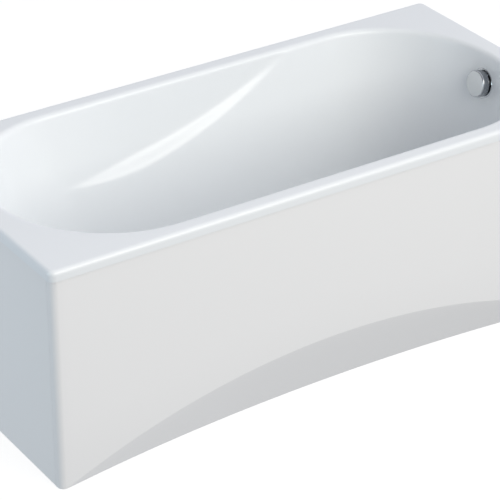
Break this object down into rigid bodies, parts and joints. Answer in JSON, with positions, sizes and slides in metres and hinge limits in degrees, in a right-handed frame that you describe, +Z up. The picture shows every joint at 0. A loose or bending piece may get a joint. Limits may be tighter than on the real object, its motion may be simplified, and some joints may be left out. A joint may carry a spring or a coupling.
{
  "type": "bathtub",
  "caption": "Panelled alcove bathtub: rounded basin with falling armrests, arched front panel, turning overflow knob and pop-up drain, on screw feet.",
  "frame": {"origin": "on the floor under the middle of the rim", "axes": "+X along the tub from the backrest to the overflow, -Y the panelled front, +Y the wall, +Z up"},
  "size_m": [1.5, 0.7, 0.56],
  "materials": {
    "acrylic_white": "high-gloss moulded acrylic",
    "panel_white": "glossy pressed acrylic sheet",
    "white_plastic": "extruded plastic",
    "laminate": "rough glass-fibre laminate",
    "chipboard": "raw chipboard",
    "timber": "sawn softwood",
    "zinc_steel": "zinc-plated",
    "spring_steel": "spring steel strip",
    "chrome": "polished chrome plate",
    "rubber_black": "matt moulded rubber",
    "pipe_plastic": "satin injection-moulded polypropylene",
    "nut_plastic": "satin injection-moulded polypropylene",
    "grey_plastic": "glass-filled nylon",
    "cradle_steel": "galvanised pressed steel",
    "foam": "closed-cell foam",
    "foot_plastic": "moulded black polyamide"
  },
  "bodies": {
    "tub": {"tub_shell": "acrylic_white", "front_panel": "panel_white", "end_panel": "panel_white", "corner_angle": "white_plastic", "laminate_tray": "laminate", "base_board": "chipboard", "rim_battens": "timber", "board_screws": "zinc_steel", "front_clips": "spring_steel", "end_clips": "spring_steel", "drain_flange": "chrome", "drain_gasket": "rubber_black", "waste_body": "pipe_plastic", "lever_pin": "zinc_steel", "trap_body": "pipe_plastic", "trap_cap": "pipe_plastic", "outlet_pipe": "pipe_plastic", "union_nuts": "nut_plastic", "overflow_flange": "chrome", "overflow_gasket": "rubber_black", "overflow_body": "pipe_plastic", "overflow_pipe": "pipe_plastic", "crossbar_head": "cradle_steel", "crossbar_nuts_head": "zinc_steel", "panel_arm_head": "cradle_steel", "arm_pad_head": "foam", "arm_bolts_head": "zinc_steel", "wall_clip_head": "zinc_steel", "crossbar_foot": "cradle_steel", "crossbar_nuts_foot": "zinc_steel", "panel_arm_foot": "cradle_steel", "arm_pad_foot": "foam", "arm_bolts_foot": "zinc_steel", "wall_clip_foot": "zinc_steel"},
    "knob": {"overflow_knob": "chrome", "overflow_spindle": "zinc_steel"},
    "plug": {"drain_plug": "chrome", "plug_seal": "rubber_black"},
    "lever": {"lifter_lever": "grey_plastic"},
    "foot_head_front": {"leg_rod_head_front": "zinc_steel", "foot_pad_head_front": "foot_plastic"},
    "foot_head_rear": {"leg_rod_head_rear": "zinc_steel", "foot_pad_head_rear": "foot_plastic"},
    "foot_foot_front": {"leg_rod_foot_front": "zinc_steel", "foot_pad_foot_front": "foot_plastic"},
    "foot_foot_rear": {"leg_rod_foot_rear": "zinc_steel", "foot_pad_foot_rear": "foot_plastic"}
  },
  "joints": [
    {"name": "knob_turn", "type": "hinge", "parent": "tub", "child": "knob", "pos_m": [0.68031, 0, 0.483], "axis": [-0.9823, 0, 0.1874], "range_deg": [0, 110]},
    {"name": "plug_lift", "type": "slide", "parent": "tub", "child": "plug", "axis": [0, 0, 1], "range_m": [0, 0.01001]},
    {"name": "lever_turn", "type": "hinge", "parent": "tub", "child": "lever", "pos_m": [0.5, -0.01833, 0.1197], "axis": [1, 0, 0], "range_deg": [0, 30.54]},
    {"name": "foot_head_front_screw", "type": "slide", "parent": "tub", "child": "foot_head_front", "axis": [0, 0, -1], "range_m": [-0.02, 0.01]},
    {"name": "foot_head_rear_screw", "type": "slide", "parent": "tub", "child": "foot_head_rear", "axis": [0, 0, -1], "range_m": [-0.02, 0.01]},
    {"name": "foot_foot_front_screw", "type": "slide", "parent": "tub", "child": "foot_foot_front", "axis": [0, 0, -1], "range_m": [-0.02, 0.01]},
    {"name": "foot_foot_rear_screw", "type": "slide", "parent": "tub", "child": "foot_foot_rear", "axis": [0, 0, -1], "range_m": [-0.02, 0.01]}
  ],
  "couplings": [
    {"joint": "plug_lift", "follows": "knob_turn", "m_per_rad": 0.0052087},
    {"joint": "lever_turn", "follows": "knob_turn", "ratio": 0.27741}
  ]
}
